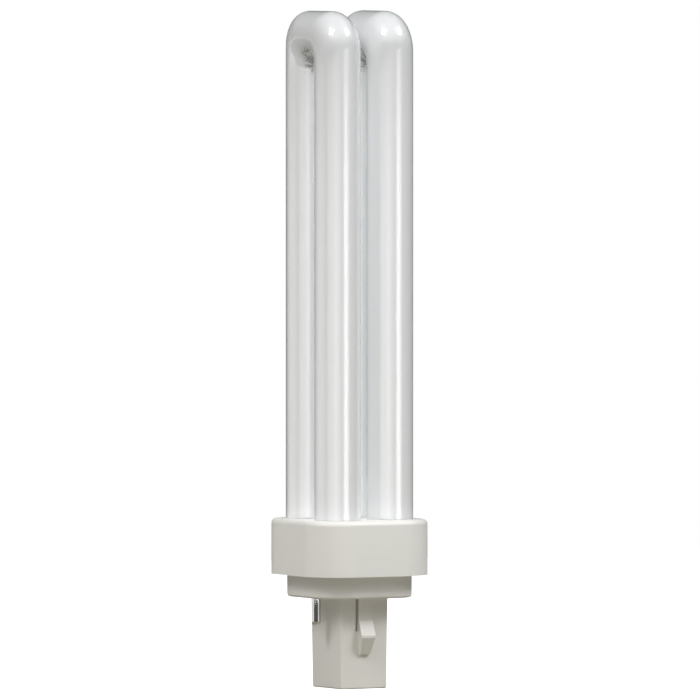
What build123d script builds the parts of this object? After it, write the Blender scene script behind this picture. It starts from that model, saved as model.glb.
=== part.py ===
from build123d import *
import math
import os

# A plug-in compact fluorescent lamp, in millimetres. Two sealed glass U-tubes stand in a
# moulded collar, and a two-pin cap with a square post closes the collar from below.
# The origin is the middle of the post's end face and Z runs up the lamp. Each U-tube lies
# along Y, with one leg at the front (-Y) and one at the back, and the two stand side by
# side along X. The starter, its capacitor and the wiring sit inside the cap.

# Glass burner
tube_diameter = 12.0
tube_pitch = 15.3
burner_height = 130.5
bend_front_radius = 9.0
bend_back_radius = 7.0
bend_depth = 12.4
bridge_diameter = 5.0
bridge_height = 7.0
blind_end_radius = 4.5
exhaust_tip_diameter = 3.2
exhaust_tip_length = 3.0
exhaust_tip_taper = 8.0
pinch_width = 9.0
pinch_thickness = 2.6
pinch_edge_radius = 0.85
pinch_length = 4.0
pinch_shoulder = 3.0
pinch_turn = 45.0
burner_clearance = 2.0

# Collar that holds the four legs
collar_height = 14.3
collar_margin = 3.75
collar_draft = 0.2
collar_wall = 1.6
collar_roof = 2.0
collar_edge_radius = 1.3
skirt_lip = 0.8
seat_ledge = 0.8
tube_hole_clearance = 0.25
cement_thickness = 0.6
cement_gap = 0.05
cup_wall = 1.2
cup_end_gap = 1.0

# Cap with its step, post and latches
step_height = 5.8
step_margin = 0.4
step_corner_radius = 8.4
step_draft = 0.5
step_edge_radius = 0.7
step_wall = 1.2
step_floor = 2.0
flange_thickness = 2.0
flange_clearance = 0.15
snap_width = 6.0
snap_height = 1.0
snap_depth = 0.5
snap_clearance = 0.1
post_length = 23.4
post_depth = 15.5
post_wall = 1.5
post_end_wall = 1.6
post_draft = 0.9
post_corner_radius = 0.7
post_edge_radius = 0.4
latch_width = 4.0
latch_rise = 0.9
latch_nose = 2.5
latch_ramp_drop = 5.8
latch_ridge_drop = 9.6
latch_ridge_height = 0.6
latch_toe_drop = 14.5
latch_toe_width = 2.7
latch_toe_rise = 0.7
latch_slot_width = 0.5
latch_slot_length = 8.6

# Contact pins
pin_diameter = 2.4
pin_length = 6.8
pin_tip_radius = 0.7
pin_offset = 2.75
pin_shank_diameter = 1.8
pin_cone_height = 0.4
pin_hole_clearance = 0.05
pin_head_width = 0.55
pin_head_height = 0.8
pin_head_gap = 0.2
pin_tail_length = 1.2

# Starter, capacitor and wiring inside the cap
starter_diameter = 6.2
starter_base_radius = 2.5
starter_shoulder_radius = 1.2
starter_neck = 3.0
starter_neck_root = 3.0
starter_neck_width = 4.4
starter_neck_thickness = 1.6
starter_neck_edge_radius = 0.4
starter_lead_spacing = 2.4
capacitor_thickness = 2.4
capacitor_width = 8.0
capacitor_height = 7.5
capacitor_corner_radius = 0.8
capacitor_top_radius = 0.6
capacitor_lead_spacing = 5.0
card_thickness = 0.3
card_gap = 0.1
card_height = 12.0
part_gap = 0.3
wire_diameter = 0.5
wire_gap = 0.05
lamp_lead_spacing = 4.0
ferrule_length = 4.0
ferrule_wall = 0.4
ferrule_spacing = 6.4
lead_room = 3.5
lead_bend_radius = 0.55
sleeve_wall = 0.35
sleeve_end_gap = 1.2

# Heights up the lamp
seat_z = post_length
floor_top_z = seat_z + step_floor
collar_base_z = seat_z + step_height
flange_base_z = collar_base_z + skirt_lip
flange_top_z = flange_base_z + flange_thickness
roof_top_z = collar_base_z + collar_height
roof_under_z = roof_top_z - collar_roof
leg_end_z = flange_top_z + burner_clearance
cup_base_z = leg_end_z + cup_end_gap
burner_top_z = roof_top_z + burner_height

# Widths that follow the tubes
tube_radius = tube_diameter / 2
leg_offset = tube_pitch / 2
bundle_width = tube_pitch + tube_diameter
collar_width = bundle_width + 2 * collar_margin
collar_corner_radius = tube_radius + collar_margin
step_width = bundle_width + 2 * step_margin
skirt_width = collar_width - 2 * collar_wall
skirt_radius = collar_corner_radius - collar_wall
cavity_width = skirt_width - 2 * seat_ledge
cavity_radius = skirt_radius - seat_ledge
flange_width = skirt_width - 2 * flange_clearance
flange_radius = skirt_radius - flange_clearance
cup_bore_radius = tube_radius + cement_thickness
tube_hole_radius = tube_radius + tube_hole_clearance
step_cavity_width = step_width - 2 * step_wall
step_cavity_radius = step_corner_radius - step_wall

# Post and what stands in it
card_share = card_thickness + card_gap
post_width = starter_diameter + capacitor_thickness + 3 * part_gap + 2 * (card_share + post_wall)
post_spread = 2 * post_length * math.tan(math.radians(post_draft))
post_root_width = post_width + post_spread
post_root_depth = post_depth + post_spread
post_hollow_depth = floor_top_z - post_end_wall
hollow_spread = 2 * post_hollow_depth * math.tan(math.radians(post_draft))
hollow_width = post_width - 2 * post_wall
hollow_depth = post_depth - 2 * post_wall
card_width = hollow_width - 2 * card_gap
card_depth = hollow_depth - 2 * card_gap
card_inner_width = card_width - 2 * card_thickness
starter_x = card_inner_width / 2 - part_gap - starter_diameter / 2
capacitor_x = part_gap + capacitor_thickness / 2 - card_inner_width / 2

# Pins and wiring
pin_radius = pin_diameter / 2
pin_shank_radius = pin_shank_diameter / 2
pin_head_radius = pin_shank_radius + pin_head_width
pin_x = step_cavity_width / 2 - pin_head_gap - pin_head_radius
pin_head_top_z = floor_top_z + pin_head_height
pin_tail_top_z = pin_head_top_z + pin_tail_length
pin_places = ((-pin_x, -pin_offset), (pin_x, pin_offset))
cone_align = (Align.CENTER, Align.CENTER, Align.MIN)
wire_radius = wire_diameter / 2
pinch_end_z = leg_end_z - pinch_length
lead_run_z = (pinch_end_z + pin_tail_top_z) / 2
ferrule_bore_radius = wire_diameter + 2 * wire_gap
ferrule_radius = ferrule_bore_radius + ferrule_wall
ferrule_top_z = floor_top_z
ferrule_base_z = ferrule_top_z - ferrule_length
ferrule_middle_z = (ferrule_top_z + ferrule_base_z) / 2
ferrule_x = (starter_x + capacitor_x) / 2
starter_top_z = ferrule_base_z - lead_room
starter_base_z = post_end_wall + part_gap
capacitor_top_z = post_end_wall + capacitor_height

os.makedirs("parts", exist_ok=True)


def save(part, name):
    part.label = name
    export_step(part, f"parts/{name}.step")


# One U-tube's bend turns about a line between its legs. Its inner side is a half circle as
# wide as the gap between the legs, and its outer side is a flat top with rounded corners,
# the back one tighter than the front one.
crotch_radius = leg_offset - tube_radius
bend_half_width = leg_offset + tube_radius
bend_top = crotch_radius + bend_depth
bend_pivot_z = burner_top_z - bend_top
bend_turns = 8


def bend_reach(angle):
    """Distance from the pivot line to the outside of the bend, at an angle from the horizontal."""
    side = abs(math.cos(angle))
    rise = math.sin(angle)
    corner_radius = bend_back_radius if math.cos(angle) > 0 else bend_front_radius
    corner_y = bend_half_width - corner_radius
    corner_z = bend_top - corner_radius
    if side * corner_z > rise * bend_half_width:
        return bend_half_width / side
    if rise * corner_y > side * bend_top:
        return bend_top / rise
    along = corner_y * side + corner_z * rise
    across = corner_y * rise - corner_z * side
    return along + math.sqrt(corner_radius ** 2 - across ** 2)


# Burner: two U-tubes, joined by a short bridge between their back legs. The back legs end
# blind, each with the tip of its exhaust tube, and the front legs end in flat pinch seals.
with BuildPart() as glass_burner:
    with BuildSketch(Plane.XY.offset(leg_end_z)):
        with GridLocations(tube_pitch, tube_pitch, 2, 2):
            Circle(tube_radius)
    extrude(amount=bend_pivot_z - leg_end_z)
    leg_ends = glass_burner.faces().group_by(Axis.Z)[0].sort_by(Axis.Y)[2:]
    fillet([edge for face in leg_ends for edge in face.edges()], blind_end_radius)

    for tube_x in (-leg_offset, leg_offset):
        for turn in range(bend_turns + 1):
            angle = math.pi * turn / bend_turns
            reach = bend_reach(angle)
            outward = Vector(0, math.cos(angle), math.sin(angle))
            centre = Vector(tube_x, 0, bend_pivot_z) + outward * (reach + crotch_radius) / 2
            section = Plane(origin=centre, x_dir=outward, z_dir=Vector(1, 0, 0).cross(outward))
            with BuildSketch(section):
                if turn in (0, bend_turns):
                    Circle(tube_radius)
                else:
                    Ellipse((reach - crotch_radius) / 2, tube_radius)
        loft()

    with BuildSketch(Plane.YZ.offset(-leg_offset)):
        with Locations((leg_offset, roof_top_z + bridge_height)):
            Circle(bridge_diameter / 2)
    extrude(amount=tube_pitch)

    with BuildSketch(Plane.XY.offset(leg_end_z)):
        with Locations((-leg_offset, leg_offset), (leg_offset, leg_offset)):
            Circle(exhaust_tip_diameter / 2)
    extrude(amount=-exhaust_tip_length, taper=exhaust_tip_taper)

    for side in (-1, 1):
        front_leg = Location((side * leg_offset, -leg_offset, 0), (0, 0, side * pinch_turn))
        with BuildSketch(Plane.XY.offset(leg_end_z)):
            with Locations(front_leg):
                Circle(tube_radius)
        with BuildSketch(Plane.XY.offset(leg_end_z - pinch_shoulder)):
            with Locations(front_leg):
                Ellipse(pinch_width / 2, pinch_thickness / 2)
        loft()
        with BuildSketch(Plane.XY.offset(pinch_end_z)):
            with Locations(front_leg):
                RectangleRounded(pinch_width, pinch_thickness, pinch_edge_radius)
        extrude(amount=pinch_length)
save(glass_burner.part, "glass_burner")


# Collar: one moulding, a drafted rounded square with a rolled upper edge. Four cups under
# its roof take the cement round the legs, and a ledge inside the skirt seats the cap.
with BuildPart() as tube_collar:
    with BuildSketch(Plane.XY.offset(collar_base_z)):
        RectangleRounded(collar_width, collar_width, collar_corner_radius)
    extrude(amount=collar_height, taper=collar_draft)
    fillet(tube_collar.edges().group_by(Axis.Z)[-1], collar_edge_radius)

    with BuildSketch(Plane.XY.offset(flange_top_z)):
        RectangleRounded(cavity_width, cavity_width, cavity_radius)
    extrude(amount=roof_under_z - flange_top_z, mode=Mode.SUBTRACT)
    with BuildSketch(Plane.XY.offset(collar_base_z)):
        RectangleRounded(skirt_width, skirt_width, skirt_radius)
    extrude(amount=flange_top_z - collar_base_z, mode=Mode.SUBTRACT)

    with BuildSketch(Plane.XY.offset(cup_base_z)):
        with GridLocations(tube_pitch, tube_pitch, 2, 2):
            Circle(cup_bore_radius + cup_wall)
    extrude(amount=roof_under_z - cup_base_z)
    with BuildSketch(Plane.XY.offset(cup_base_z)):
        with GridLocations(tube_pitch, tube_pitch, 2, 2):
            Circle(cup_bore_radius)
    extrude(amount=roof_under_z - cup_base_z, mode=Mode.SUBTRACT)
    with BuildSketch(Plane.XY.offset(roof_under_z)):
        with GridLocations(tube_pitch, tube_pitch, 2, 2):
            Circle(tube_hole_radius)
    extrude(amount=collar_roof, mode=Mode.SUBTRACT)

    # Pockets in the skirt for the cap's four snaps
    pocket_span = flange_width + 2 * (snap_depth + snap_clearance)
    pocket_width = snap_width + 2 * snap_clearance
    pocket_base_z = (flange_base_z + flange_top_z - snap_height) / 2 - snap_clearance
    with BuildSketch(Plane.XY.offset(pocket_base_z)):
        Rectangle(pocket_span, pocket_width)
        Rectangle(pocket_width, pocket_span)
    extrude(amount=snap_height + 2 * snap_clearance, mode=Mode.SUBTRACT)
save(tube_collar.part, "tube_collar")


# Cap: one moulding, a flange that snaps into the collar, the step that seats on the
# lampholder, and a hollow drafted post with a latch on its front and back.
with BuildPart() as base_cap:
    with BuildSketch(Plane.XY.offset(flange_base_z)):
        RectangleRounded(step_width, step_width, step_corner_radius)
    extrude(amount=seat_z - flange_base_z, taper=step_draft)
    fillet(base_cap.edges().group_by(Axis.Z)[0], step_edge_radius)

    with BuildSketch(Plane.XY.offset(flange_base_z)):
        RectangleRounded(flange_width, flange_width, flange_radius)
    extrude(amount=flange_thickness)
    snap_span = flange_width + 2 * snap_depth
    with BuildSketch(Plane.XY.offset((flange_base_z + flange_top_z - snap_height) / 2)):
        Rectangle(snap_span, snap_width)
        Rectangle(snap_width, snap_span)
    extrude(amount=snap_height)

    with BuildSketch(Plane.XY.offset(seat_z)):
        RectangleRounded(post_root_width, post_root_depth, post_corner_radius)
    extrude(amount=-post_length, taper=post_draft)
    fillet(base_cap.faces().sort_by(Axis.Z)[0].edges(), post_edge_radius)

    # Latches: a raised arm, a ramp to the ridge, and a narrowing face back to the post
    latch_stations = (
        (0, latch_width, latch_rise),
        (latch_ramp_drop, latch_width, latch_rise),
        (latch_ridge_drop, latch_width, latch_nose),
        (latch_ridge_drop + latch_ridge_height, latch_width, latch_nose),
        (latch_toe_drop, latch_toe_width, latch_toe_rise),
    )
    for upper, lower in zip(latch_stations, latch_stations[1:]):
        for drop, width, rise in (upper, lower):
            face_width = post_root_depth - 2 * drop * math.tan(math.radians(post_draft))
            with BuildSketch(Plane.XY.offset(seat_z - drop)):
                Rectangle(width, face_width + 2 * rise)
        loft(ruled=True)

    # Hollow from the open top down into the post
    with BuildSketch(Plane.XY.offset(floor_top_z)):
        RectangleRounded(step_cavity_width, step_cavity_width, step_cavity_radius)
    extrude(amount=flange_top_z - floor_top_z, mode=Mode.SUBTRACT)
    with BuildSketch(Plane.XY.offset(floor_top_z)):
        Rectangle(hollow_width + hollow_spread, hollow_depth + hollow_spread)
    extrude(amount=-post_hollow_depth, taper=post_draft, mode=Mode.SUBTRACT)

    # Slots that part each latch arm from the post
    slot_x = (latch_width + latch_slot_width) / 2
    slot_z = seat_z - latch_slot_length / 2
    with BuildSketch(Plane.XZ.offset(-post_root_depth)):
        with Locations((-slot_x, slot_z), (slot_x, slot_z)):
            Rectangle(latch_slot_width, latch_slot_length)
    extrude(amount=2 * post_root_depth, mode=Mode.SUBTRACT)

    with BuildSketch(Plane.XY.offset(seat_z)):
        with Locations(*pin_places):
            Circle(pin_shank_radius + pin_hole_clearance)
    extrude(amount=step_floor, mode=Mode.SUBTRACT)
    with Locations(*[(x, y, seat_z) for x, y in pin_places]):
        Cone(
            pin_radius + pin_hole_clearance,
            pin_shank_radius + pin_hole_clearance,
            pin_cone_height,
            align=cone_align,
            mode=Mode.SUBTRACT,
        )
save(base_cap.part, "base_cap")


# Contact pins: turned and plated, each with a round tip, a cone that sits in the seat's
# countersink, a shank that is riveted over inside the cap, and a drilled tail for its lead.
for pin_place, pin_name in zip(pin_places, ("left", "right")):
    with BuildPart() as contact_pin:
        with BuildSketch(Plane.XY.offset(seat_z - pin_length)):
            with Locations(pin_place):
                Circle(pin_radius)
        extrude(amount=pin_length)
        fillet(contact_pin.edges().group_by(Axis.Z)[0], pin_tip_radius)
        with Locations((*pin_place, seat_z)):
            Cone(pin_radius, pin_shank_radius, pin_cone_height, align=cone_align)
        with BuildSketch(Plane.XY.offset(seat_z + pin_cone_height)):
            with Locations(pin_place):
                Circle(pin_shank_radius)
        extrude(amount=pin_tail_top_z - seat_z - pin_cone_height)
        with BuildSketch(Plane.XY.offset(floor_top_z)):
            with Locations(pin_place):
                Circle(pin_head_radius)
        extrude(amount=pin_head_height)
        with BuildSketch(Plane.XY.offset(pin_tail_top_z)):
            with Locations(pin_place):
                Circle(wire_radius + wire_gap)
        extrude(amount=-pin_tail_length, mode=Mode.SUBTRACT)
    save(contact_pin.part, f"contact_pin_{pin_name}")


# Cement: a ring round each leg, cast in the collar's cup
leg_places = {
    "left_front": (-leg_offset, -leg_offset),
    "left_back": (-leg_offset, leg_offset),
    "right_front": (leg_offset, -leg_offset),
    "right_back": (leg_offset, leg_offset),
}
for leg_name, leg_place in leg_places.items():
    with BuildPart() as cement_ring:
        with BuildSketch(Plane.XY.offset(cup_base_z)):
            with Locations(leg_place):
                Circle(cup_bore_radius)
                Circle(tube_radius + cement_gap, mode=Mode.SUBTRACT)
        extrude(amount=roof_under_z - cup_base_z)
    save(cement_ring.part, f"cement_ring_{leg_name}")


# Glow starter: a small sealed glass bulb that stands in the post, pinched flat at its top
with BuildPart() as starter_bulb:
    with BuildSketch(Plane.XY.offset(starter_base_z)):
        with Locations((starter_x, 0)):
            Circle(starter_diameter / 2)
    extrude(amount=starter_top_z - starter_neck - starter_base_z)
    fillet(starter_bulb.edges().group_by(Axis.Z)[0], starter_base_radius)
    fillet(starter_bulb.edges().group_by(Axis.Z)[-1], starter_shoulder_radius)
    with BuildSketch(Plane.XY.offset(starter_top_z)):
        with Locations((starter_x, 0)):
            Rectangle(starter_neck_thickness, starter_neck_width)
    extrude(amount=-(starter_neck + starter_neck_root))
    fillet(starter_bulb.edges().group_by(Axis.Z)[-1], starter_neck_edge_radius)
save(starter_bulb.part, "starter_bulb")


# Capacitor: a flat dipped block beside the starter, on the post's end wall
with BuildPart() as starter_capacitor:
    with BuildSketch(Plane.XY.offset(post_end_wall)):
        with Locations((capacitor_x, 0)):
            RectangleRounded(capacitor_thickness, capacitor_width, capacitor_corner_radius)
    extrude(amount=capacitor_height)
    fillet(starter_capacitor.edges().group_by(Axis.Z)[-1], capacitor_top_radius)
save(starter_capacitor.part, "starter_capacitor")


# Insulating card: a folded tube round the starter and the capacitor
with BuildPart() as insulating_card:
    with BuildSketch(Plane.XY.offset(post_end_wall)):
        Rectangle(card_width, card_depth)
        Rectangle(card_inner_width, card_depth - 2 * card_thickness, mode=Mode.SUBTRACT)
    extrude(amount=card_height)
save(insulating_card.part, "insulating_card")


# Wiring. A wire is swept along straight runs with rounded corners.
def wire(points, radius):
    with BuildPart() as bent_wire:
        with BuildLine() as route:
            FilletPolyline(*points, radius=radius)
        with BuildSketch(Plane(origin=points[0], z_dir=Vector(*points[1]) - Vector(*points[0]))):
            Circle(wire_radius)
        sweep(path=route.line)
    return bent_wire.part


for side, side_name in ((-1, "left"), (1, "right")):
    # The starter's and the capacitor's leads meet from below in one crimped ferrule, and the
    # lamp's lead comes into it from above.
    ferrule_y = side * ferrule_spacing / 2
    with BuildPart() as crimp_ferrule:
        with BuildSketch(Plane.XY.offset(ferrule_base_z)):
            with Locations((ferrule_x, ferrule_y)):
                Circle(ferrule_radius)
                Circle(ferrule_bore_radius, mode=Mode.SUBTRACT)
        extrude(amount=ferrule_length)
    save(crimp_ferrule.part, f"crimp_ferrule_{side_name}")

    lead_shift = wire_radius + wire_gap / 2
    turn_z = starter_top_z + lead_room / 2
    starter_lead = wire((
        (starter_x, side * starter_lead_spacing / 2, starter_top_z),
        (starter_x, side * starter_lead_spacing / 2, turn_z),
        (ferrule_x + lead_shift, ferrule_y, turn_z),
        (ferrule_x + lead_shift, ferrule_y, ferrule_middle_z),
    ), lead_bend_radius)
    save(starter_lead, f"starter_lead_{side_name}")
    capacitor_lead = wire((
        (capacitor_x, side * capacitor_lead_spacing / 2, capacitor_top_z),
        (capacitor_x, side * capacitor_lead_spacing / 2, turn_z),
        (ferrule_x - lead_shift, ferrule_y, turn_z),
        (ferrule_x - lead_shift, ferrule_y, ferrule_middle_z),
    ), lead_bend_radius)
    save(capacitor_lead, f"capacitor_lead_{side_name}")

    # Each front leg's pinch seal lets out two leads, the outer one to the contact pin on its
    # own side and the inner one to the starter circuit.
    along_pinch = Vector(side * lamp_lead_spacing / 2, 0, 0).rotate(Axis.Z, side * pinch_turn)
    outer_x = side * leg_offset + along_pinch.X
    outer_y = along_pinch.Y - leg_offset
    inner_x = side * leg_offset - along_pinch.X
    inner_y = -along_pinch.Y - leg_offset
    pin_place = (side * pin_x, side * pin_offset)
    pin_lead = wire((
        (outer_x, outer_y, pinch_end_z),
        (outer_x, outer_y, lead_run_z),
        (*pin_place, lead_run_z),
        (*pin_place, pin_head_top_z),
    ), lead_bend_radius)
    save(pin_lead, f"pin_lead_{side_name}")
    circuit_lead = wire((
        (inner_x, inner_y, pinch_end_z),
        (inner_x, inner_y, lead_run_z),
        (ferrule_x, ferrule_y, lead_run_z),
        (ferrule_x, ferrule_y, ferrule_middle_z + wire_diameter),
    ), lead_bend_radius)
    save(circuit_lead, f"circuit_lead_{side_name}")

    # Glass-fibre sleeve on the straight run of the pin's lead
    run_start = Vector(outer_x, outer_y, lead_run_z)
    run_end = Vector(*pin_place, lead_run_z)
    run = run_end - run_start
    with BuildPart() as lead_sleeve:
        with BuildSketch(Plane(origin=run_start + run.normalized() * sleeve_end_gap, z_dir=run)):
            Circle(wire_radius + wire_gap + sleeve_wall)
            Circle(wire_radius + wire_gap, mode=Mode.SUBTRACT)
        extrude(amount=run.length - 2 * sleeve_end_gap)
    save(lead_sleeve.part, f"lead_sleeve_{side_name}")
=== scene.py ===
import math

import bpy
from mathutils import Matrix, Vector


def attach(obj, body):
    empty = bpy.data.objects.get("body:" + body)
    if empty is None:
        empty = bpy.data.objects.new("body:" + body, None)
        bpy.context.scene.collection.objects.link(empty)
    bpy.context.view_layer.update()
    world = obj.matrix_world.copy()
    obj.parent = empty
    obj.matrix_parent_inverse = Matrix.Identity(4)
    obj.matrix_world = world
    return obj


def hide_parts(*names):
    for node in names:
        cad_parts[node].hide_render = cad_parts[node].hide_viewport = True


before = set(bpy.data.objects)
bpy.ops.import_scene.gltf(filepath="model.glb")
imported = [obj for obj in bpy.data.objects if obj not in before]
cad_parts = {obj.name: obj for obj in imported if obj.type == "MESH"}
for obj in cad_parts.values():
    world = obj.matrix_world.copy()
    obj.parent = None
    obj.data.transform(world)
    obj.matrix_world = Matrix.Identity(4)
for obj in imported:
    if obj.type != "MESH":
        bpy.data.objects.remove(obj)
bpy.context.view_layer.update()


# Camera: a long lens a little above the lamp, turned so that the collar's front and left
# faces both show, with the lamp upright in the middle of the picture.
view_azimuth = -28.3
view_pitch = 2.0
view_distance = 4.0
aim_height = 0.08682
aim_shift = 0.00015


def direction(azimuth, pitch):
    """The way from the lamp to a place round it, in degrees; azimuth 0 is in front."""
    a, e = math.radians(azimuth), math.radians(pitch)
    return Vector((math.sin(a) * math.cos(e), -math.cos(a) * math.cos(e), math.sin(e)))


camera_data = bpy.data.cameras.new("camera")
camera_data.lens = 800.4
camera_data.sensor_width = 36
camera_data.clip_end = 20
camera = bpy.data.objects.new("camera", camera_data)
bpy.context.collection.objects.link(camera)
camera_back = direction(view_azimuth, view_pitch)
camera_right = direction(view_azimuth + 90, 0)
aim = Vector((0, 0, aim_height)) + camera_right * aim_shift
camera.location = aim + camera_back * view_distance
camera.rotation_mode = "QUATERNION"
camera.rotation_quaternion = (-camera_back).to_track_quat("-Z", "Y")
bpy.context.scene.camera = camera


# Glass burner: two U-tubes of soft glass, coated white inside and bent hot over a former, with
# a short bridge fused between their back legs. The back legs are sealed round at the bottom
# with the tip of the exhaust tube, and the front legs are pinched flat over their leads.
tube_radius = 0.006
tube_pitch = 0.0153
bend_top_height = 0.174
bend_depth = 0.0132
front_corner_radius = 0.009
back_corner_radius = 0.007
end_start_height = 0.0385
front_end_length = 0.0085
back_end_length = 0.0075
pinch_turn = math.radians(45)
bridge_radius = 0.0025
bridge_height = 0.0505
rings_of_end = 24
rings_of_leg = 40
rings_of_bend = 120
sides_of_tube = 80
sides_of_bridge = 32
weld_distance = 0.000002
# Share of the tube's radius along each end, from the straight leg to the tip
blind_profile = ((0, 1), (0.2, 0.93), (0.4, 0.7), (0.55, 0.42), (0.62, 0.27), (1, 0.2))
pinch_width_profile = ((0, 1), (0.53, 1), (0.88, 0.75), (1, 0.75))
pinch_thickness_profile = ((0, 1), (0.53, 1), (0.88, 0.217), (1, 0.217))


class Field:
    """A node socket that takes part in plain arithmetic and adds the Math nodes for it."""

    def __init__(self, tree, socket):
        self.tree = tree
        self.socket = socket

    def node(self, kind, settings=None, output=0, sockets=None, **named):
        """Adds a node, sets it up first, and then fills its sockets with values or links."""
        made = self.tree.nodes.new(kind)
        for name, value in (settings or {}).items():
            if name == "curve":
                points = made.mapping.curves[0].points
                while len(points) < len(value):
                    points.new(0.5, 0.5)
                for point, place in zip(points, value):
                    point.location = place
                    point.handle_type = "VECTOR"
                made.mapping.update()
            else:
                setattr(made, name, value)
        filled = dict(sockets or {})
        filled.update({name.replace("_", " "): value for name, value in named.items()})
        for place, value in filled.items():
            if isinstance(value, Field):
                self.tree.links.new(value.socket, made.inputs[place])
            else:
                made.inputs[place].default_value = value
        return Field(self.tree, made.outputs[output])

    def math(self, operation, *others):
        terms = dict(enumerate((self, *others)))
        return self.node("ShaderNodeMath", {"operation": operation}, sockets=terms)

    def clamp(self):
        return self.math("MAXIMUM", 0.0).math("MINIMUM", 1.0)

    def pick(self, first, second):
        """The first value where this is 0 and the second where it is 1."""
        return (1 - self) * first + self * second

    def tint(self, first, second):
        """The first colour where this is 0 and the second where it is 1."""
        colours = {0: self, 6: first, 7: second}
        return self.node("ShaderNodeMix", {"data_type": "RGBA"}, output=2, sockets=colours)

    def split(self):
        """The X, Y and Z of a vector."""
        apart = self.node("ShaderNodeSeparateXYZ", sockets={0: self}).socket.node
        return [Field(self.tree, socket) for socket in apart.outputs]

    def feed(self, node, name):
        self.tree.links.new(self.socket, node.inputs[name])

    def __add__(self, other):
        return self.math("ADD", other)

    def __sub__(self, other):
        return self.math("SUBTRACT", other)

    def __rsub__(self, other):
        return (self * -1) + other

    def __mul__(self, other):
        return self.math("MULTIPLY", other)

    def __truediv__(self, other):
        return self.math("DIVIDE", other)

    def __gt__(self, other):
        return self.math("GREATER_THAN", other)

    def __lt__(self, other):
        return self.math("LESS_THAN", other)

    __radd__ = __add__
    __rmul__ = __mul__


def start_material(name):
    """A new material, its shader node, and the object's own coordinates."""
    material = bpy.data.materials.new(name)
    material.use_nodes = True
    tree = material.node_tree
    coordinates = tree.nodes.new("ShaderNodeTexCoord")
    return material, tree.nodes["Principled BSDF"], Field(tree, coordinates.outputs["Object"])


# The coating is even on the legs. It thins to a cooler grey round the bends, and in the
# crotch, where the glass folded as it was bent, it is cracked down to the clear wall.
# Round the crotch a darker grey is painted in as shade.
crotch_radius = tube_pitch / 2 - tube_radius
bend_pivot_height = bend_top_height - bend_depth - crotch_radius
thin_start_height = 0.146
thin_fade = 0.02
fold_width = 0.0046
fold_back_edge = 0.0035
fold_back_fade = 0.004
fold_foot = -0.0018
fold_foot_fade = 0.0024
# Reach and fades of the painted shade round the crotch
crotch_shade_width = 0.0075
crotch_shade_back_edge = 0.0016
crotch_shade_back_fade = 0.0035
crack_half_width = 0.05
# How fine the folds are round the bend, out from its middle, and across the tube
folds_round = 3.2
folds_out = 240
folds_across = 460
bright_coating = (0.838, 0.846, 0.866, 1)
dull_coating = (0.802, 0.816, 0.836, 1)
thin_coating = (0.695, 0.72, 0.725, 1)
painted_crotch_shade = (0.46, 0.49, 0.48, 1)
bare_wall = (0.025, 0.028, 0.025, 1)

coated_glass, shader, place = start_material("coated_glass")
x, y, z = place.split()
over_pivot = z - bend_pivot_height
from_pivot = (y * y + over_pivot * over_pivot).math("SQRT")
turn = over_pivot.math("ARCTAN2", y)
over_crotch = from_pivot - crotch_radius
thin_share = ((z - thin_start_height) / thin_fade).clamp()
fold_front = ((fold_back_edge - y) / fold_back_fade).clamp()
fold_side = fold_front * ((over_pivot - fold_foot) / fold_foot_fade).clamp()
fold_share = (1 - over_crotch / fold_width).clamp() * fold_side
crotch_shade_front = ((crotch_shade_back_edge - y) / crotch_shade_back_fade).clamp()
painted_shade_share = (1 - over_crotch / crotch_shade_width).clamp() * fold_side * crotch_shade_front
fold_place = place.node(
    "ShaderNodeCombineXYZ", X=turn * folds_round, Y=from_pivot * folds_out, Z=x * folds_across
)
folds = place.node("ShaderNodeTexNoise", Vector=fold_place, Scale=1.0, Detail=3.0, Roughness=0.6)
crack_line = (1 - (folds - 0.5).math("ABSOLUTE") / crack_half_width).clamp()
crack_share = crack_line * (fold_share * 3).clamp()
cloud = place.node("ShaderNodeTexNoise", Vector=place, Scale=55.0, Detail=2.0)
white = (cloud * 0.6).tint(bright_coating, dull_coating)
thinned = (thin_share * 0.3).tint(white, thin_coating)
# Painted shade: a darker grey laid round the crotch, where the bend shades itself
crotch_shaded = (painted_shade_share * 0.5).tint(thinned, painted_crotch_shade)
crack_share.tint(crotch_shaded, bare_wall).feed(shader, "Base Color")
(fold_share * 0.9).pick(0.38, 0.12).feed(shader, "Roughness")
ripple = place.node("ShaderNodeTexNoise", Vector=place, Scale=140.0, Detail=1.0)
folded = place.node("ShaderNodeBump", Strength=0.5, Distance=0.0006, Height=folds * fold_share)
rippled = place.node(
    "ShaderNodeBump", Strength=0.03, Distance=0.0004, Height=ripple, Normal=folded
)
rippled.feed(shader, "Normal")
shader.inputs["Coat Weight"].default_value = 1.0
shader.inputs["Coat Roughness"].default_value = 0.03
shader.inputs["Coat IOR"].default_value = 1.5
shader.inputs["Subsurface Weight"].default_value = 0.8
shader.inputs["Subsurface Scale"].default_value = 0.0015
shader.inputs["Subsurface Radius"].default_value = (1, 1, 1)

tree = bpy.data.node_groups.new("u_tubes", "GeometryNodeTree")
tree.interface.new_socket("Geometry", in_out="OUTPUT", socket_type="NodeSocketGeometry")
tube_sizes = {
    "Tube radius": tube_radius,
    "Tube pitch": tube_pitch,
    "Bend top height": bend_top_height,
    "Bend depth": bend_depth,
    "Front corner radius": front_corner_radius,
    "Back corner radius": back_corner_radius,
    "End start height": end_start_height,
    "Front end length": front_end_length,
    "Back end length": back_end_length,
    "Pinch turn": pinch_turn,
    "Bridge radius": bridge_radius,
    "Bridge height": bridge_height,
}
size_sockets = {
    name: tree.interface.new_socket(name, in_out="INPUT", socket_type="NodeSocketFloat")
    for name in tube_sizes
}
group_input = tree.nodes.new("NodeGroupInput")
(
    radius, pitch, top_height, depth, front_corner, back_corner, end_start, front_end, back_end,
    pinch_angle, bridge_size, bridge_level,
) = (Field(tree, group_input.outputs[name]) for name in tube_sizes)

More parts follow.
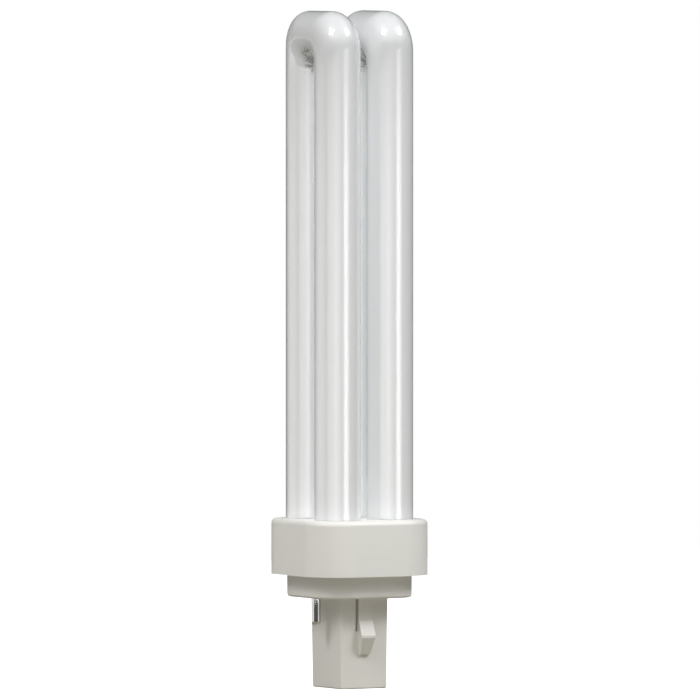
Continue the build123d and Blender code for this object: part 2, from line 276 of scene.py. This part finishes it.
# Two flat grids, one above the other, become the two U-tubes: a grid's X runs along the
# tube, its Y round it, and the grid's own height says which U it is.
ring_count = 2 * (rings_of_end + rings_of_leg) + rings_of_bend
grid = radius.node(
    "GeometryNodeMeshGrid", Vertices_X=ring_count + 1, Vertices_Y=sides_of_tube + 1
)
pair = radius.node("GeometryNodeMeshLine", Count=2, Start_Location=(0, 0, -1), Offset=(0, 0, 2))
both = radius.node("GeometryNodeInstanceOnPoints", Points=pair, Instance=grid)
sheets = radius.node("GeometryNodeRealizeInstances", Geometry=both)
along, around, grid_height = radius.node("GeometryNodeInputPosition").split()
side = grid_height.math("SIGN")
rings_from_top = (along * ring_count).math("ABSOLUTE")
front = along > 0.0
bend = (rings_from_top / (rings_of_bend / 2)).clamp()
leg = ((rings_from_top - rings_of_bend / 2) / rings_of_leg).clamp()
end = ((rings_from_top - rings_of_bend / 2 - rings_of_leg) / (rings_of_end - 1)).clamp()
closed = rings_from_top > (ring_count - 1) / 2

# Round the bend every ring stands out from the pivot, the line midway between the legs. Its
# inner side keeps to the crotch's circle, and its outer side to a box with rounded corners.
half_width = pitch / 2 + radius
crotch = pitch / 2 - radius
bend_top = crotch + depth
pivot = top_height - bend_top
way = front.pick(-1.0, 1.0)
angle = bend * way * (math.pi / 2) + math.pi / 2
level = angle.math("COSINE")
level_size = level.math("ABSOLUTE")
rise = angle.math("SINE").math("MAXIMUM", 0.0)
corner = front.pick(back_corner, front_corner)
corner_out = half_width - corner
corner_up = bend_top - corner
on_side = (level_size * corner_up) > (rise * half_width)
on_top = (rise * corner_out) > (level_size * bend_top)
toward = corner_out * level_size + corner_up * rise
across = corner_out * rise - corner_up * level_size
on_corner = toward + (corner * corner - across * across).math("MAXIMUM", 0.0).math("SQRT")
flat_side = half_width / level_size.math("MAXIMUM", 0.01)
flat_top = bend_top / rise.math("MAXIMUM", 0.01)
reach = on_side * flat_side + on_top * flat_top + (1 - on_side - on_top) * on_corner

# Each ring is drawn, squeezed where its leg ends, and set in its place; the last ring of each
# end shrinks to a point.
blind_share = end.node("ShaderNodeFloatCurve", {"curve": blind_profile}, Value=end)
width_share = end.node("ShaderNodeFloatCurve", {"curve": pinch_width_profile}, Value=end)
thickness_share = end.node("ShaderNodeFloatCurve", {"curve": pinch_thickness_profile}, Value=end)
open_share = 1 - closed
wide = front.pick(blind_share, width_share) * open_share
thin = front.pick(blind_share, thickness_share) * open_share
round_angle = around * (2 * math.pi)
ring_x = radius * round_angle.math("SINE")
ring_out = (reach - crotch) / 2 * round_angle.math("COSINE")
ring_y = ring_out * front.pick(1.0, -1.0)
pinch_x = pinch_angle.math("COSINE")
pinch_y = pinch_angle.math("SINE") * side
along_pinch = (ring_x * pinch_x + ring_y * pinch_y) * wide
over_pinch = (ring_y * pinch_x - ring_x * pinch_y) * thin
end_x = along_pinch * pinch_x - over_pinch * pinch_y
end_y = along_pinch * pinch_y + over_pinch * pinch_x
middle = (reach + crotch) / 2
out = middle + ring_out
straight = leg > 0.0
tube_x = straight.pick(ring_x, end_x) + side * (pitch / 2)
tube_y = straight.pick(out * level, middle * level + end_y)
leg_drop = leg * (pivot - end_start) + end * front.pick(back_end, front_end)
tube_z = pivot + out * rise * (1 - straight) - leg_drop
tube_place = radius.node("ShaderNodeCombineXYZ", X=tube_x, Y=tube_y, Z=tube_z)
tubes = radius.node("GeometryNodeSetPosition", Geometry=sheets, Position=tube_place)

bar = radius.node(
    "GeometryNodeMeshCylinder", Vertices=sides_of_bridge, Radius=bridge_size, Depth=pitch
)
bar_place = radius.node("ShaderNodeCombineXYZ", Y=pitch / 2, Z=bridge_level)
bridge = radius.node(
    "GeometryNodeTransform", Geometry=bar, Translation=bar_place, Rotation=(0, math.pi / 2, 0)
)
whole = radius.node("GeometryNodeJoinGeometry", Geometry=tubes)
bridge.feed(whole.socket.node, "Geometry")
welded = radius.node("GeometryNodeMergeByDistance", Geometry=whole, Distance=weld_distance)
smooth = radius.node("GeometryNodeSetShadeSmooth", Geometry=welded)
coated = radius.node("GeometryNodeSetMaterial", Geometry=smooth, Material=coated_glass)
group_output = tree.nodes.new("NodeGroupOutput")
coated.feed(group_output, "Geometry")

burner = bpy.data.objects.new("glass_burner_tubes", bpy.data.meshes.new("glass_burner_tubes"))
bpy.context.collection.objects.link(burner)
modifier = burner.modifiers.new("u_tubes", "NODES")
modifier.node_group = tree
for name, socket in size_sockets.items():
    modifier[socket.identifier] = tube_sizes[name]
evaluated = burner.evaluated_get(bpy.context.evaluated_depsgraph_get())
shape = bpy.data.meshes.new_from_object(evaluated)
burner.modifiers.clear()
burner.data = shape
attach(burner, "root")
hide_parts("glass_burner")


# Cement: a ring of chalky lamp cement round each leg, poured into the collar's cups as a paste
# and baked hard. Its skin is full of fine pits and carries paler patches where it dried first.
def paint(material, *names):
    """Gives the CAD nodes of these names one material."""
    for name in names:
        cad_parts[name].material_slots[0].material = material


cement, shader, place = start_material("cement")
pits = place.node("ShaderNodeTexVoronoi", Vector=place, Scale=1400.0)
patches = place.node("ShaderNodeTexNoise", Vector=place, Scale=260.0, Detail=4.0, Roughness=0.65)
patches.tint((0.66, 0.64, 0.58, 1), (0.84, 0.82, 0.77, 1)).feed(shader, "Base Color")
(patches * 0.15 + 0.8).feed(shader, "Roughness")
pitted = place.node("ShaderNodeBump", Strength=0.5, Distance=0.0002, Height=pits * patches)
pitted.feed(shader, "Normal")
for hand in ("left", "right"):
    paint(cement, f"cement_ring_{hand}_front", f"cement_ring_{hand}_back")


# Collar: a warm white moulding of glass-filled polyester with a fine satin skin, snapped over
# the cap's flange. The tubes come up through its roof, cemented from below.
def start_plastic(name, darker, lighter):
    """A moulded plastic, mottled between two close colours under a fine satin grain."""
    plastic, shader, place = start_material(name)
    grain = place.node("ShaderNodeTexNoise", Vector=place, Scale=900.0, Detail=4.0, Roughness=0.6)
    mottle = place.node("ShaderNodeTexNoise", Vector=place, Scale=110.0, Detail=3.0)
    (mottle * 0.7).tint(darker, lighter).feed(shader, "Base Color")
    (grain * 0.12 + 0.36).feed(shader, "Roughness")
    satin = place.node("ShaderNodeBump", Strength=0.12, Distance=0.0002, Height=grain)
    satin.feed(shader, "Normal")
    return plastic


white_plastic = start_plastic("white_plastic", (0.84, 0.834, 0.8, 1), (0.884, 0.875, 0.854, 1))
paint(white_plastic, "tube_collar")


# Cap: the same plastic in a slightly greyer batch. The step seats on the lampholder, and the
# hollow post carries a moulded latch on its front and back.
cap_plastic = start_plastic("cap_plastic", (0.834, 0.824, 0.786, 1), (0.88, 0.87, 0.838, 1))
paint(cap_plastic, "base_cap")


# Contact pins: turned brass with a bright nickel plate, riveted over inside the cap. The
# plate keeps the lathe's fine rings and dulls in small clouds.
rings_across = 60
rings_along = 4000

nickel, shader, place = start_material("nickel")
x, y, z = place.split()
turned = place.node(
    "ShaderNodeCombineXYZ", X=x * rings_across, Y=y * rings_across, Z=z * rings_along
)
marks = place.node("ShaderNodeTexNoise", Vector=turned, Scale=1.0, Detail=2.0)
tarnish = place.node("ShaderNodeTexNoise", Vector=place, Scale=600.0, Detail=3.0)
tarnish.tint((0.80, 0.79, 0.77, 1), (0.68, 0.66, 0.63, 1)).feed(shader, "Base Color")
(tarnish * 0.08 + 0.05).feed(shader, "Roughness")
ringed = place.node("ShaderNodeBump", Strength=0.05, Distance=0.00005, Height=marks)
ringed.feed(shader, "Normal")
shader.inputs["Metallic"].default_value = 1.0
paint(nickel, "contact_pin_left", "contact_pin_right")


# Glow starter: a small blown bulb of clear glass in the post, pinched over its two leads. Its
# wall is smoked a little towards the pinch, where the flame sealed it.
smoke_start = 0.009
smoke_length = 0.009

clear_glass, shader, place = start_material("clear_glass")
x, y, z = place.split()
smoked = ((z - smoke_start) / smoke_length).clamp()
wisps = place.node("ShaderNodeTexNoise", Vector=place, Scale=420.0, Detail=3.0)
(smoked * wisps).tint((0.90, 0.94, 0.93, 1), (0.36, 0.35, 0.33, 1)).feed(shader, "Base Color")
(smoked * wisps * 0.3 + 0.03).feed(shader, "Roughness")
blown = place.node("ShaderNodeBump", Strength=0.08, Distance=0.0003, Height=wisps)
blown.feed(shader, "Normal")
shader.inputs["Transmission Weight"].default_value = 0.9
shader.inputs["IOR"].default_value = 1.5
paint(clear_glass, "starter_bulb")


# Capacitor: a flat block beside the starter, dipped twice in brown resin, which ran down and
# set with a soft orange-peel gloss.
runs_across = 900
runs_down = 160

dipped_resin, shader, place = start_material("dipped_resin")
x, y, z = place.split()
runs_place = place.node(
    "ShaderNodeCombineXYZ", X=x * runs_across, Y=y * runs_across, Z=z * runs_down
)
runs = place.node("ShaderNodeTexNoise", Vector=runs_place, Scale=1.0, Detail=2.0)
runs.tint((0.30, 0.11, 0.035, 1), (0.44, 0.19, 0.07, 1)).feed(shader, "Base Color")
(runs * 0.15 + 0.15).feed(shader, "Roughness")
dripped = place.node("ShaderNodeBump", Strength=0.25, Distance=0.0003, Height=runs)
dripped.feed(shader, "Normal")
shader.inputs["Coat Weight"].default_value = 0.5
paint(dipped_resin, "starter_capacitor")


# Insulating card: pressed board folded to a tube round the starter and the capacitor, with
# its fibres lying mostly round the fold.
fleck_reach = 0.12
fibres_round = 500
fibres_up = 5200

card, shader, place = start_material("card")
x, y, z = place.split()
fibre_place = place.node(
    "ShaderNodeCombineXYZ", X=x * fibres_round, Y=y * fibres_round, Z=z * fibres_up
)
fibres = place.node(
    "ShaderNodeTexNoise", Vector=fibre_place, Scale=1.0, Detail=5.0, Roughness=0.7
)
flecks = place.node("ShaderNodeTexVoronoi", Vector=place, Scale=700.0)
speckled = (flecks < fleck_reach) * 0.5 + fibres * 0.5
speckled.tint((0.56, 0.43, 0.29, 1), (0.36, 0.26, 0.16, 1)).feed(shader, "Base Color")
(fibres * 0.2 + 0.75).feed(shader, "Roughness")
pressed = place.node("ShaderNodeBump", Strength=0.4, Distance=0.0001, Height=fibres)
pressed.feed(shader, "Normal")
paint(card, "insulating_card")


# Wiring: tinned copper leads from the pinch seals, the starter and the capacitor, joined in two
# crimped ferrules. The tin is drawn along the wire and dulled in spots by the flux.
wiring = ("crimp_ferrule", "starter_lead", "capacitor_lead", "pin_lead", "circuit_lead")

tinned_metal, shader, place = start_material("tinned_metal")
drawn = place.node("ShaderNodeTexNoise", Vector=place, Scale=1600.0, Detail=4.0, Roughness=0.6)
flux = place.node("ShaderNodeTexNoise", Vector=place, Scale=500.0, Detail=2.0)
flux.tint((0.74, 0.74, 0.72, 1), (0.55, 0.54, 0.50, 1)).feed(shader, "Base Color")
(drawn * 0.25 + 0.2).feed(shader, "Roughness")
scored = place.node("ShaderNodeBump", Strength=0.15, Distance=0.00005, Height=drawn)
scored.feed(shader, "Normal")
shader.inputs["Metallic"].default_value = 1.0
for hand in ("left", "right"):
    paint(tinned_metal, *(f"{piece}_{hand}" for piece in wiring))


# Sleeves: braided glass fibre slid over each lead on its way to a pin, yellowed by heat. Two
# sets of strands cross each other along the sleeve.
# Radians of the strands' wave to the metre
strand_rate = 9000

glass_fibre, shader, place = start_material("glass_fibre")
x, y, z = place.split()
one_way = ((x + y + z) * strand_rate).math("SINE")
other_way = ((x + y - z) * strand_rate).math("SINE")
braid = (one_way * other_way) * 0.5 + 0.5
heat = place.node("ShaderNodeTexNoise", Vector=place, Scale=240.0, Detail=2.0)
yellowed = (braid * 0.5 + heat * 0.3).tint((0.62, 0.55, 0.41, 1), (0.84, 0.81, 0.72, 1))
yellowed.feed(shader, "Base Color")
(heat * 0.2 + 0.65).feed(shader, "Roughness")
braided = place.node("ShaderNodeBump", Strength=0.6, Distance=0.0001, Height=braid)
braided.feed(shader, "Normal")
paint(glass_fibre, "lead_sleeve_left", "lead_sleeve_right")


# Floor: the pale table that the lamp stands on, wider than the picture. The camera sees it
# nearly burnt out, so its far edge is lost in the white behind it, and it throws only a little
# warm light back up at the lamp.
floor_half = 0.6
floor_corners = ((-1, -1), (1, -1), (1, 1), (-1, 1))
seen_floor = (0.9, 0.9, 0.9, 1)
seen_glow = (0.75, 0.75, 0.75, 1)
bounce_colour = (0.35, 0.333, 0.28, 1)

floor_mesh = bpy.data.meshes.new("floor")
floor_places = [(a * floor_half, b * floor_half, 0) for a, b in floor_corners]
floor_mesh.from_pydata(floor_places, [], [(0, 1, 2, 3)])
floor = bpy.data.objects.new("floor", floor_mesh)
bpy.context.collection.objects.link(floor)
pale_table, shader, place = start_material("pale_table")
camera_ray = place.node("ShaderNodeLightPath")
camera_ray.tint(bounce_colour, seen_floor).feed(shader, "Base Color")
camera_ray.tint((0, 0, 0, 1), seen_glow).feed(shader, "Emission Color")
shader.inputs["Roughness"].default_value = 1.0
shader.inputs["Specular IOR Level"].default_value = 0.0
shader.inputs["Emission Strength"].default_value = 1.0
floor_mesh.materials.append(pale_table)


# Cards: a low ring round the lamp, black from the left to the front and white elsewhere. The
# camera doesn't see it. The pins mirror it, which gives them their dark middle between two
# bright strips.
card_radius = 0.12
card_bottom = 0.0004
card_top = 0.019
card_parts = 60
black_start = math.radians(-80)
black_end = math.radians(14)
card_glows = {"black_card": 0.1, "white_card": 0.85}

card_places = []
card_faces = []
for part in range(card_parts):
    azimuth = black_start + 2 * math.pi * part / card_parts
    for height in (card_bottom, card_top):
        corner = (card_radius * math.sin(azimuth), -card_radius * math.cos(azimuth), height)
        card_places.append(corner)
    after = (part + 1) % card_parts
    card_faces.append((2 * part, 2 * after, 2 * after + 1, 2 * part + 1))
card_mesh = bpy.data.meshes.new("cards")
card_mesh.from_pydata(card_places, [], card_faces)
for name, glow in card_glows.items():
    glowing_card, shader, place = start_material(name)
    shader.inputs["Base Color"].default_value = (0, 0, 0, 1)
    shader.inputs["Specular IOR Level"].default_value = 0.0
    shader.inputs["Emission Color"].default_value = (1, 1, 1, 1)
    shader.inputs["Emission Strength"].default_value = glow
    card_mesh.materials.append(glowing_card)
black_parts = round((black_end - black_start) / (2 * math.pi) * card_parts)
for part, face in enumerate(card_mesh.polygons):
    face.material_index = 0 if part < black_parts else 1
cards = bpy.data.objects.new("cards", card_mesh)
bpy.context.collection.objects.link(cards)
cards.visible_camera = False
cards.visible_diffuse = False
cards.visible_shadow = False


# Light: a white tent whose shoulder glows from the back left round to the front right. A thin
# sill just below the horizon, brightest a little right of the front, is what the tubes mirror
# as their long stripes. A key stands high in front on the right, and a fill on the left.

# Brightness of the tent's foot, shoulder and sill, going round from the back by the left
foot_glow = (0.09, 0.10, 0, 0, 0, 0, 0, 0, 0, 0, 0, 0, 0.09)
shoulder_glow = (0.10, 0.55, 0.95, 1.26, 1.40, 1.28, 1.0, 0.80, 0.45, 0.10, 0, 0, 0.10)
sill_glow = (
    0, 0, 0.14, 0.24, 0.4, 0.46, 0.45, 0.4, 0.2, 0.58, 0.62, 0.64, 0.9, 0.62, 0.38, 0.2,
    1.55, 1.15, 0.12, 0.06, 0.04, 0, 0, 0, 0, 0, 0, 0, 0, 0, 0,
)
sill_strength = 6.0
# Heights in the tent, from -1 straight down to 1 straight up
sill_foot = -0.042
sill_foot_fade = 0.006
sill_top = -0.006
sill_top_fade = 0.01
shoulder_start = 0.15
roof_start = 0.6
wall_fade = 0.25

world = bpy.data.worlds.new("tent")
bpy.context.scene.world = world
world.use_nodes = True
tent = world.node_tree.nodes["Background"]
coordinates = world.node_tree.nodes.new("ShaderNodeTexCoord")
way = Field(world.node_tree, coordinates.outputs["Generated"])
x, y, z = way.split()
round_share = x.math("ARCTAN2", y * -1) / (2 * math.pi) + 0.5
up = z.math("ARCSINE") / (math.pi / 2)
walls = []
for glow in (foot_glow, shoulder_glow, sill_glow):
    stops = [(n / (len(glow) - 1), value) for n, value in enumerate(glow)]
    walls.append(way.node("ShaderNodeFloatCurve", {"curve": stops}, Value=round_share))
foot, shoulder, sill = walls
to_shoulder = ((up - shoulder_start) / wall_fade).clamp()
to_roof = ((up - roof_start) / wall_fade).clamp()
over_foot = ((up - sill_foot) / sill_foot_fade).clamp()
to_sill = ((sill_top - up) / sill_top_fade).clamp() * over_foot
wall = to_shoulder.pick(foot, shoulder) * (1 - to_roof)
lit = to_sill.pick(wall, sill * sill_strength)
# The camera sees the tent plain white
way.node("ShaderNodeLightPath").pick(lit, 1.0).feed(tent, "Strength")
tent.inputs["Color"].default_value = (1, 1, 1, 1)

# The thin coating lets light through, so the burner doesn't hold back the key's and the fill's
# shine: only the moulded pieces and the pins cast shadows.
casters = bpy.data.collections.new("shadow_casters")
for name in ("tube_collar", "base_cap", "contact_pin_left", "contact_pin_right"):
    casters.objects.link(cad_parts[name])
light_aim = Vector((0, 0, 0.09))


def add_light(name, azimuth, pitch, distance, width, height, power, colour=(1, 1, 1)):
    """An area light round the lamp's middle, faced at it."""
    light = bpy.data.lights.new(name, "AREA")
    light.shape = "RECTANGLE"
    light.size = width
    light.size_y = height
    light.energy = power
    light.color = colour
    lamp = bpy.data.objects.new(name, light)
    back = direction(azimuth, pitch)
    lamp.location = light_aim + back * distance
    lamp.rotation_mode = "QUATERNION"
    lamp.rotation_quaternion = back.to_track_quat("Z", "Y")
    lamp.light_linking.blocker_collection = casters
    bpy.context.collection.objects.link(lamp)


add_light("key", azimuth=40, pitch=45, distance=1.2, width=0.45, height=0.4, power=7.2)
add_light(
    "fill", azimuth=-72, pitch=45, distance=1.2, width=0.4, height=0.36, power=4.4,
    colour=(1, 0.99, 0.95),
)

bpy.context.scene.view_settings.view_transform = "Standard"
